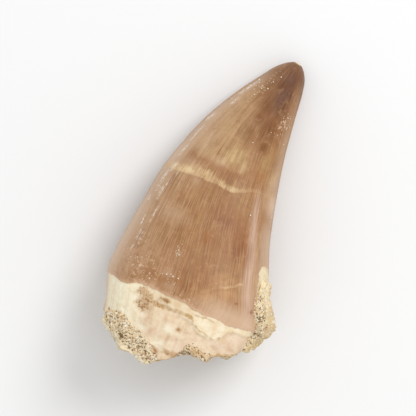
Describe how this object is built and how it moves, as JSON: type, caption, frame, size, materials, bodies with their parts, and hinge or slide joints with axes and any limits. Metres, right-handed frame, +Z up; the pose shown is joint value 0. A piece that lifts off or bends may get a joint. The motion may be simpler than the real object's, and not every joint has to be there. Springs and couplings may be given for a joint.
{
  "type": "fossil mosasaur tooth",
  "caption": "Stout curved fossil reptile tooth lying on its side, glossy brown enamel crown over a cream broken root with cemented sand in its hollow and round its rim.",
  "frame": {"origin": "on the surface the tooth lies on, under the middle of its bounding box", "axes": "+Y from the broken root to the tip, +X towards the inner side of the curve, +Z up"},
  "size_m": [0.0269, 0.0507, 0.0184],
  "materials": {
    "fossil_tooth": "glossy streaked brown enamel, with matt cream cement and dentine at the root",
    "cemented_sand": "rough grainy phosphate sand, cream and grey grains with dark gaps"
  },
  "bodies": {
    "root": {"tooth": "fossil_tooth", "sand_matrix": "cemented_sand"}
  },
  "joints": []
}
